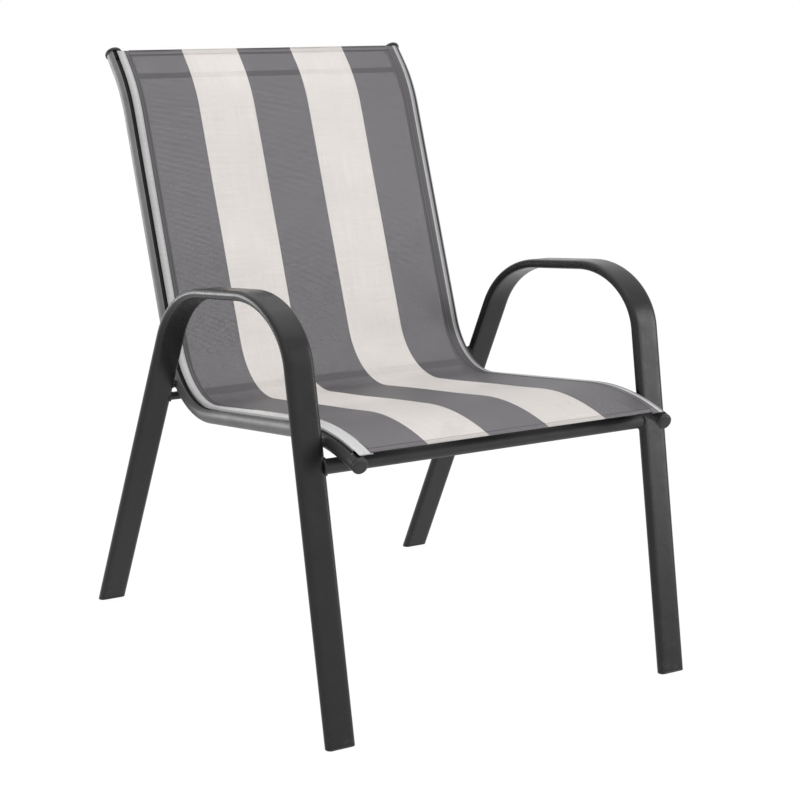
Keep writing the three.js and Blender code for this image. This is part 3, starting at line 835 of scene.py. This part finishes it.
def ranged(tree, value, source, target=(0.0, 1.0), **settings):
    """A value moved from one range to another, and kept inside it."""
    inputs = dict(enumerate((value, *source, *target)))
    return node(tree, "ShaderNodeMapRange", inputs, **settings).outputs[0]


def up_to(tree, value, end, soft):
    """1 before a value and 0 from there on, with a soft edge."""
    return ranged(tree, value, (end - soft, end), (1.0, 0.0))


def band(tree, value, start, end, soft):
    """1 between two values and 0 outside them, with soft edges."""
    return times(tree, ranged(tree, value, (start, start + soft)), up_to(tree, value, end, soft))


def mixed(tree, share, a, b, blend="MIX"):
    """A colour between a and b."""
    made = node(tree, "ShaderNodeMix", {0: share, 6: a, 7: b}, data_type="RGBA", blend_type=blend)
    return made.outputs[2]


def shaded(tree, colour, shade):
    """A colour times a grey."""
    grey = node(tree, "ShaderNodeCombineColor", {0: shade, 1: shade, 2: shade}).outputs[0]
    return mixed(tree, 1.0, colour, grey, "MULTIPLY")


def scaled(colour, factor, lift=0.0):
    """A fixed colour times a factor, no brighter than white."""
    return tuple(min(1, c * factor + lift) for c in colour[:3]) + (1,)


def separated(tree, vector):
    return node(tree, "ShaderNodeSeparateXYZ", {0: vector}).outputs[:]


def noise(tree, where, scale, detail=2.0, rough=0.5):
    inputs = {"Vector": where, "Scale": scale, "Detail": detail, "Roughness": rough}
    return node(tree, "ShaderNodeTexNoise", inputs).outputs["Fac"]


def object_place(tree):
    return node(tree, "ShaderNodeTexCoord").outputs["Object"]


def new_material(name):
    material = bpy.data.materials.new(name)
    material.use_nodes = True
    material.node_tree.nodes.clear()
    return material, material.node_tree


def finish_with(tree, shader):
    node(tree, "ShaderNodeOutputMaterial", {"Surface": shader})


def surface(tree, base, roughness, height, strength, depth, **others):
    """The material's surface: its colour and roughness, a bump of a depth from a height, and the other
    inputs, named with underscores for spaces."""
    bump = node(tree, "ShaderNodeBump", {"Strength": strength, "Distance": depth, "Height": height})
    shader = node(tree, "ShaderNodeBsdfPrincipled", {
        "Base Color": base, "Roughness": roughness, "Normal": bump.outputs[0],
        **{key.replace("_", " "): value for key, value in others.items()},
    })
    finish_with(tree, shader.outputs[0])


def powder_coat(name, colour, roughness, ior, metallic=0.0, front_shade=1.0, seat_shade=1.0):
    """Baked powder over steel: a fine orange-peel skin, a cloudy tone, and dust and scuffs low down. A
    metallic share stands for the flake in a silvery coat. The two shades are painted shade: they darken
    that coat at the front end of the rails, and along the seat under the bend."""
    material, tree = new_material(name)
    where = object_place(tree)
    _, y, z = separated(tree, where)
    cloud = noise(tree, where, scale=14.0, detail=4.0, rough=0.6)
    grain = noise(tree, where, scale=900.0)
    scuff = noise(tree, where, scale=60.0, detail=6.0, rough=0.7)
    tone = mixed(tree, ranged(tree, cloud, (0.3, 0.7)), scaled(colour, 0.84), scaled(colour, 1.2))
    speck = mixed(tree, ranged(tree, grain, (0.62, 0.75), (0.0, 0.3)), tone, scaled(colour, 2.2))
    low_down = ranged(tree, z, (0.0, SCUFF_HEIGHT), (1.0, 0.0))
    dusty = times(tree, ranged(tree, scuff, (0.56, 0.72), (0.0, 0.35)), low_down)
    base = mixed(tree, dusty, speck, DUST)
    # Painted shade: the coat darkens towards the rails' front end and below the seat's height.
    if (front_shade, seat_shade) != (1.0, 1.0):
        front = ranged(tree, y, RAIL_FRONT_SHADE_FADE, (front_shade, 1.0))
        base = shaded(tree, base, times(tree, front, ranged(tree, z, RAIL_SEAT_SHADE_FADE, (seat_shade, 1.0))))
    rough = maths(tree, "ADD", ranged(tree, scuff, (0.3, 0.7), (-0.04, 0.07)), roughness)
    surface(tree, base, rough, grain, strength=0.12, depth=0.0004, Metallic=metallic, IOR=ior)
    return material


def moulded_plastic(name, colour):
    """Moulded plastic with a fine spark-eroded grain and a slight bloom."""
    material, tree = new_material(name)
    where = object_place(tree)
    grain = noise(tree, where, scale=1400.0, detail=3.0, rough=0.6)
    bloom = noise(tree, where, scale=45.0, detail=3.0)
    pale = scaled(colour, 1.9, lift=0.004)
    base = mixed(tree, ranged(tree, bloom, (0.35, 0.75), (0.0, 0.6)), colour, pale)
    rough = ranged(tree, bloom, (0.3, 0.7), (0.42, 0.58))
    surface(tree, base, rough, grain, strength=0.25, depth=0.0003, IOR=1.5)
    return material


def cloth_place(tree):
    """Distances across and along the sling, and across again in its stripe pattern, whose middle is a
    little to the right, and which the seat stretches sideways. The stretch fades through the seat bend."""
    cloth = node(tree, "ShaderNodeUVMap", uv_map="cloth").outputs[0]
    across, along, _ = separated(tree, cloth)
    bend = (SEAT_END, SEAT_END + SEAT_BEND_RADIUS * SEAT_BEND_ANGLE)
    stretch = ranged(tree, along, bend, (1 + SEAT_STRETCH, 1.0), interpolation_type="SMOOTHSTEP")
    return across, along, maths(tree, "DIVIDE", maths(tree, "SUBTRACT", across, STRIPE_CENTRE), stretch)


def seat_share(tree, along, fade_start, fade_end):
    """1 on the seat and 0 on the back, fading between two distances past the end of the seat's run."""
    return ranged(tree, along, (SEAT_END + fade_start, SEAT_END + fade_end), (1.0, 0.0))


def leftwards(tree, across, least):
    """1 on the left half of the sling, and a lesser share on the right half."""
    return ranged(tree, across, (-0.01, 0.01), (1.0, least))


def pale_share(tree, across, along, pattern):
    """1 on the pale stripes and 0 on the grey ones. The outermost pale stripes have edges of their own,
    which lie further in along the seat than along the back, most on the left."""
    stripe = maths(tree, "DIVIDE", maths(tree, "ABSOLUTE", pattern), STRIPE_WIDTH)
    striped = maths(tree, "MODULO", maths(tree, "FLOOR", maths(tree, "ADD", stripe, 0.5)), 2.0)
    in_pattern = maths(tree, "LESS_THAN", maths(tree, "ABSOLUTE", across), PATTERN_HALF_WIDTH)
    further_in = ranged(tree, along, (0.0, OUTER_STRIPE_FRONT), OUTER_STRIPE_REACH)
    further_in = times(tree, seat_share(tree, along, -0.14, 0.0), further_in)
    left_edge = maths(tree, "SUBTRACT", further_in, LEFT_OUTER_STRIPE)
    right_edge = maths(tree, "MULTIPLY_ADD", further_in, -RIGHT_REACH_SHARE, RIGHT_OUTER_STRIPE)
    return largest(tree, times(tree, striped, in_pattern), maths(tree, "LESS_THAN", across, left_edge),
                   maths(tree, "GREATER_THAN", across, right_edge))


def hem_painted_light_share(tree, side, along):
    """How much of the hems' painted light and shade shows: most in the front hem and between the top hem's
    two creases, a little elsewhere in the folds."""
    from_top = maths(tree, "SUBTRACT", RAIL_LENGTH - TOP_END_MARGIN, along)
    from_front = maths(tree, "SUBTRACT", along, FRONT_EDGE)
    ends = largest(tree, band(tree, from_top, *TOP_HEM_CREASES, CREASE_FADE),
                   up_to(tree, from_front, FRONT_HEM_LENGTH, CREASE_FADE))
    folds = largest(tree, up_to(tree, from_top, TOP_HEM_LENGTH, FOLD_FADE),
                    ranged(tree, side, (HEM_INNER_EDGE, HEM_INNER_EDGE + FOLD_FADE)))
    return largest(tree, ends, times(tree, folds, FOLD_SHARE))


def rail_wrap_painted_shade(tree, across, on_seat):
    """The painted shade on the cloth over a rail, by its distance past the rail's middle: a dark band
    beside the wrap, then painted shade that deepens over the rail and into the slot, most on the right. The
    seat is nearly unshaded, most on the left."""
    past = maths(tree, "SUBTRACT", maths(tree, "ABSOLUTE", across), RAIL_HALF_SPACING)
    past_right = maths(tree, "SUBTRACT", across, RAIL_HALF_SPACING)
    over_rail = ranged(tree, past, (-0.0072, -0.0012), (1.0, 0.70))
    into_slot = ranged(tree, past, (-0.0012, 0.0025), (1.0, 0.30))
    on_right = ranged(tree, past_right, (-0.0055, 0.001), (1.0, 0.45))
    unshaded = times(tree, on_seat, leftwards(tree, across, 0.15))
    wrap_shade = largest(tree, times(tree, times(tree, over_rail, into_slot), on_right), unshaded)
    flat_cloth = maths(tree, "LESS_THAN", past, -0.014)
    shade_beside_wrap = ranged(tree, past, (-0.012, -0.0065), (0.72, 1.0))
    seam = largest(tree, shade_beside_wrap, flat_cloth, times(tree, on_seat, 0.96))
    return times(tree, wrap_shade, seam)


def painted_light_along_sling(tree, along, is_pale):
    """Painted light and shade along the sling, on both kinds of stripe: grey ones are lighter on the seat
    and darker up the back, and pale ones are brighter in the rear of the seat and a little so up the back."""
    seat, up_back = seat_share(tree, along, -0.04, 0.05), band(tree, along, 0.50, 0.72, 0.06)
    grey = with_shares(tree, (seat, 0.13), (up_back, -0.12))
    rear_seat, up_back = band(tree, along, 0.20, 0.47, 0.08), band(tree, along, 0.46, 0.76, 0.06)
    pale = with_shares(tree, (rear_seat, 0.17), (up_back, 0.05))
    return blended(tree, is_pale, grey, pale)


def woven_mesh(name, grey, pale):
    """Striped mesh of coated yarn. Stripes run along the sling; yarns cross in pairs, so each cell of
    the weave shows one direction on top; small gaps are left where four yarns meet. Where the cloth
    wraps the rails its pale stripe is neutral, with painted light on the seat and painted shade towards
    the slot. The hems carry painted light and shade, and the yarns painted shade between them."""
    material, tree = new_material(name)
    across, along, pattern = cloth_place(tree)
    side = maths(tree, "ABSOLUTE", across)
    is_pale = pale_share(tree, across, along, pattern)
    on_seat = seat_share(tree, along, -0.05, 0.05)

    def yarns(direction):
        """0 between the yarns that lie side by side in a direction, and 1 on top of them."""
        turn = times(tree, direction, math.pi / YARN_PITCH)
        return maths(tree, "ABSOLUTE", maths(tree, "SINE", turn))

    def number(direction):
        return maths(tree, "FLOOR", maths(tree, "DIVIDE", direction, YARN_PITCH))

    warp, weft = yarns(pattern), yarns(along)
    cell = maths(tree, "ADD", number(pattern), number(along))
    warp_over = maths(tree, "ABSOLUTE", maths(tree, "MODULO", cell, 2.0))
    crown = blended(tree, warp_over, weft, warp)
    gap = times(tree, rest(tree, warp), rest(tree, weft))
    opening = ranged(tree, gap, (0.40, 0.50))

    def streaks(finer_across, finer_along, scale):
        place = node(tree, "ShaderNodeCombineXYZ", {
            0: times(tree, pattern, finer_across), 1: times(tree, along, finer_along)})
        return noise(tree, place.outputs[0], scale, detail=3.0, rough=0.6)

    yarn_tones = maths(tree, "ADD", streaks(90.0, 2.0, 6.0), streaks(2.0, 90.0, 6.0))
    cloud = streaks(1.0, 1.0, 7.0)
    tone = ranged(tree, maths(tree, "ADD", yarn_tones, cloud), (1.1, 1.9), (0.9, 1.1))
    # Painted shade over the rails and down into their slots.
    tone = times(tree, tone, rail_wrap_painted_shade(tree, across, on_seat))
    # Painted light and shade along the sling.
    tone = times(tree, tone, painted_light_along_sling(tree, along, is_pale))
    # Painted shade between the yarns, painted light on their crowns.
    tone = times(tree, tone, ranged(tree, crown, (0.0, 1.0), (0.86, 1.05)))

    # Painted light and shade in the hems: their grey is painted lighter, as a sheen on the fold, and their
    # pale darker, as shade in the doubled cloth.
    hem_painted_light = hem_painted_light_share(tree, side, along)
    wrapped = maths(tree, "GREATER_THAN", side, WRAP_START)
    neutral = (pale[1],) * 3
    # Painted light: the wrap's pale is lighter on the seat than up the back.
    wrap_pale_lit = mixed(tree, on_seat, scaled(neutral, 0.91), scaled(neutral, 1.05))
    pale_here = mixed(tree, wrapped, mixed(tree, hem_painted_light, pale, scaled(pale, 0.9)), wrap_pale_lit)
    flat = mixed(tree, is_pale, mixed(tree, hem_painted_light, grey, scaled(grey, 1.6)), pale_here)
    surface(tree, shaded(tree, flat, tone), ranged(tree, crown, (0.0, 1.0), (0.58, 0.46)), crown,
            strength=0.35, depth=0.0004, IOR=1.5, Sheen_Weight=0.08, Sheen_Roughness=0.4,
            Alpha=rest(tree, opening))
    return material


def pocket_painted_shade_and_light(name, dark, light, drop):
    """The cloth down the slot and round the rod, in painted shade and light: dark on the back, where shade
    fills the slot, lighter on the flat run of the seat, and pale along the seat where it drops into the
    slot, most on the left."""
    material, tree = new_material(name)
    across, along, _ = cloth_place(tree)
    place = node(tree, "ShaderNodeCombineXYZ", {0: across, 1: along}).outputs[0]
    weave = ranged(tree, noise(tree, place, scale=500.0), (0.3, 0.7), (0.8, 1.0))
    # Painted shade in the slot on the back; painted light on the seat's flat run and where the cloth drops
    # into the slot.
    inside = mixed(tree, band(tree, along, SEAT_START + 0.02, SEAT_END, 0.03), dark, light)
    past = maths(tree, "SUBTRACT", maths(tree, "ABSOLUTE", across), RAIL_HALF_SPACING)
    dropping = times(tree, ranged(tree, past, (0.0035, 0.005), (1.0, 0.0)),
                     seat_share(tree, along, 0.02, 0.10))
    dropping = times(tree, dropping, leftwards(tree, across, 0.2))
    base = shaded(tree, mixed(tree, dropping, inside, drop), weave)
    surface(tree, base, 0.7, weave, strength=0.3, depth=0.0004, IOR=1.4)
    return material


def sewing_thread(name, grey, pale):
    """Clear twisted thread, which takes the tone of the cloth under it: fine slanting bands of painted
    shade in the twist, and a slight sheen."""
    material, tree = new_material(name)
    twist = node(tree, "ShaderNodeTexWave", {"Vector": object_place(tree), "Scale": 900.0,
                                             "Distortion": 1.5}, bands_direction="DIAGONAL").outputs["Fac"]
    colour = mixed(tree, pale_share(tree, *cloth_place(tree)), grey, pale)
    # Painted shade in the twist's grooves.
    base = mixed(tree, times(tree, twist, 0.3), colour, (0.02, 0.02, 0.02, 1))
    surface(tree, base, 0.6, twist, strength=0.3, depth=0.0001, Sheen_Weight=0.2)
    return material


# ---- studio


def white_to_camera(tree, seen, unseen):
    """The seen shader for camera, glossy and transmission rays, and the unseen one for the rest."""
    path = node(tree, "ShaderNodeLightPath").outputs
    rays = largest(tree, *(path[f"Is {kind} Ray"] for kind in ("Camera", "Glossy", "Transmission")))
    return node(tree, "ShaderNodeMixShader", {0: rays, 1: unseen, 2: seen}).outputs[0]


def make_studio():
    """A white world that lights the chair less than it shows, and a pale floor that keeps the shadow."""
    scene = bpy.context.scene
    scene.view_settings.view_transform = "Standard"
    scene.world = bpy.data.worlds.new("studio")
    scene.world.use_nodes = True
    tree = scene.world.node_tree
    tree.nodes.clear()
    seen, unseen = (node(tree, "ShaderNodeBackground", {"Color": (1, 1, 1, 1), "Strength": strength})
                    for strength in (1.0, 0.69))
    sky = white_to_camera(tree, seen.outputs[0], unseen.outputs[0])
    node(tree, "ShaderNodeOutputWorld", {"Surface": sky})

    material, tree = new_material("pale_floor")
    matt = node(tree, "ShaderNodeBsdfDiffuse", {"Color": (0.8, 0.8, 0.8, 1)})
    glow = node(tree, "ShaderNodeEmission", {"Color": (1, 1, 1, 1), "Strength": 1.05})
    both = node(tree, "ShaderNodeMixShader", {0: 0.92, 1: matt.outputs[0], 2: glow.outputs[0]})
    finish_with(tree, white_to_camera(tree, both.outputs[0], matt.outputs[0]))
    ring = circle(9.0, 96)
    points = np.vstack([np.column_stack([ring, np.zeros(len(ring))]), [[0, 0, 0]]])
    floor = add_mesh("floor", points, [end_fan(np.arange(len(ring)), len(ring))], material, closed=False)


def add_softbox(name, place, target, size, power):
    """A soft rectangular light at a place, turned to its target, of a size in metres and power in watts."""
    light = bpy.data.lights.new(name, "AREA")
    light.shape = "RECTANGLE"
    light.size, light.size_y = size
    light.energy = power
    lamp = bpy.data.objects.new(name, light)
    lamp.location = place
    lamp.rotation_euler = (Vector(target) - Vector(place)).to_track_quat("-Z", "Y").to_euler()
    lamp.visible_camera = False
    bpy.context.scene.collection.objects.link(lamp)


def make_camera():
    """The photo's camera, solved from the chair's edges: where it is, and how it is turned."""
    azimuth, elevation, roll = (math.radians(angle) for angle in CAMERA_ANGLES)
    back = Vector((math.sin(azimuth) * math.cos(elevation), -math.cos(azimuth) * math.cos(elevation),
                   math.sin(elevation)))
    level_right = Vector((math.cos(azimuth), math.sin(azimuth), 0))
    upright = back.cross(level_right)
    right = level_right * math.cos(roll) + upright * math.sin(roll)
    up = upright * math.cos(roll) - level_right * math.sin(roll)
    camera = bpy.data.cameras.new("photo_camera")
    camera.sensor_width = SENSOR_WIDTH
    camera.lens = SENSOR_WIDTH * FOCAL_PIXELS / PHOTO_PIXELS
    viewer = bpy.data.objects.new("photo_camera", camera)
    turn = Matrix((right, up, back)).transposed().to_4x4()
    viewer.matrix_world = Matrix.Translation(CAMERA_PLACE + SHIFT) @ turn
    bpy.context.scene.collection.objects.link(viewer)
    bpy.context.scene.camera = viewer


make_camera()
make_studio()
add_softbox("top_softbox", (0.0, 0.2, 3.2), (0, 0.1, 0.4), (3.4, 3.4), 29)
add_softbox("right_front_softbox", (2.46, -2.49, 1.42), (0, 0, 0.45), (0.75, 2.3), 36)
add_softbox("left_rear_softbox", (-1.9, 2.8, 0.85), (-0.27, 0.1, 0.5), (1.4, 1.5), 43)
add_softbox("front_softbox", (-0.6, -2.6, 3.0), (0, 0, 0.4), (2.4, 1.8), 8)

frame_coat = powder_coat("frame_powder_coat", (0.011, 0.011, 0.0115, 1), roughness=0.28, ior=1.38)
# The crossbars' coat is a lighter copy of the frame's coat: painted light that lifts the shade under the
# sling.
lit_bar_coat = powder_coat("crossbar_lit_powder_coat", (0.021, 0.021, 0.022, 1), roughness=0.50, ior=1.45)
# The rails' coat carries painted shade at their front end and along the seat.
rail_coat = powder_coat("rail_powder_coat", (0.175, 0.175, 0.178, 1), roughness=0.46, ior=1.45,
                        metallic=0.22, front_shade=0.3, seat_shade=0.66)
end_plastic = moulded_plastic("end_plastic", (0.009, 0.009, 0.0095, 1))
rod_plastic = moulded_plastic("rod_plastic", (0.62, 0.62, 0.6, 1))
mesh_cloth = woven_mesh("striped_mesh", grey=(0.094, 0.087, 0.096, 1), pale=(0.72, 0.68, 0.65, 1))
pocket_cloth = pocket_painted_shade_and_light("pocket_painted_shade_and_light", dark=(0.018, 0.018, 0.019, 1), light=(0.30, 0.30, 0.30, 1),
                             drop=(0.66, 0.66, 0.65, 1))
thread = sewing_thread("sewing_thread", grey=(0.07, 0.068, 0.07, 1), pale=(0.66, 0.63, 0.60, 1))

for side_name, side_sign in SIDES.items():
    make_hoop(side_name, side_sign, frame_coat)
    make_rail(side_name, side_sign, rail_coat)
    for end_name in ("front", "rear"):
        make_foot_plug(side_name, end_name, side_sign, end_plastic)
        make_spacer(side_name, end_name, side_sign, frame_coat)
    for end_name in ("front", "top"):
        make_rail_cap(side_name, end_name, side_sign, end_plastic)
    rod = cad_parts[f"{side_name}_sling_spline"]
    rod.data.materials.clear()
    rod.data.materials.append(rod_plastic)
make_leg_bar("front_crossbar", "front", FRONT_BAR_RADIUS, lit_bar_coat)
make_leg_bar("rear_crossbar", "rear", REAR_BAR_RADIUS, lit_bar_coat)
make_top_bar("top_crossbar", lit_bar_coat)

sling_cloth, cloth_width, cloth_length = make_sling(mesh_cloth, pocket_cloth)
front_hem = make_end_hem("sling_front_hem", FRONT_EDGE, FRONT_HEM_LENGTH, False, mesh_cloth)
top_hem = make_end_hem("sling_top_hem", RAIL_LENGTH - TOP_END_MARGIN, TOP_HEM_LENGTH, True, mesh_cloth)
stitching = make_stitching(thread)
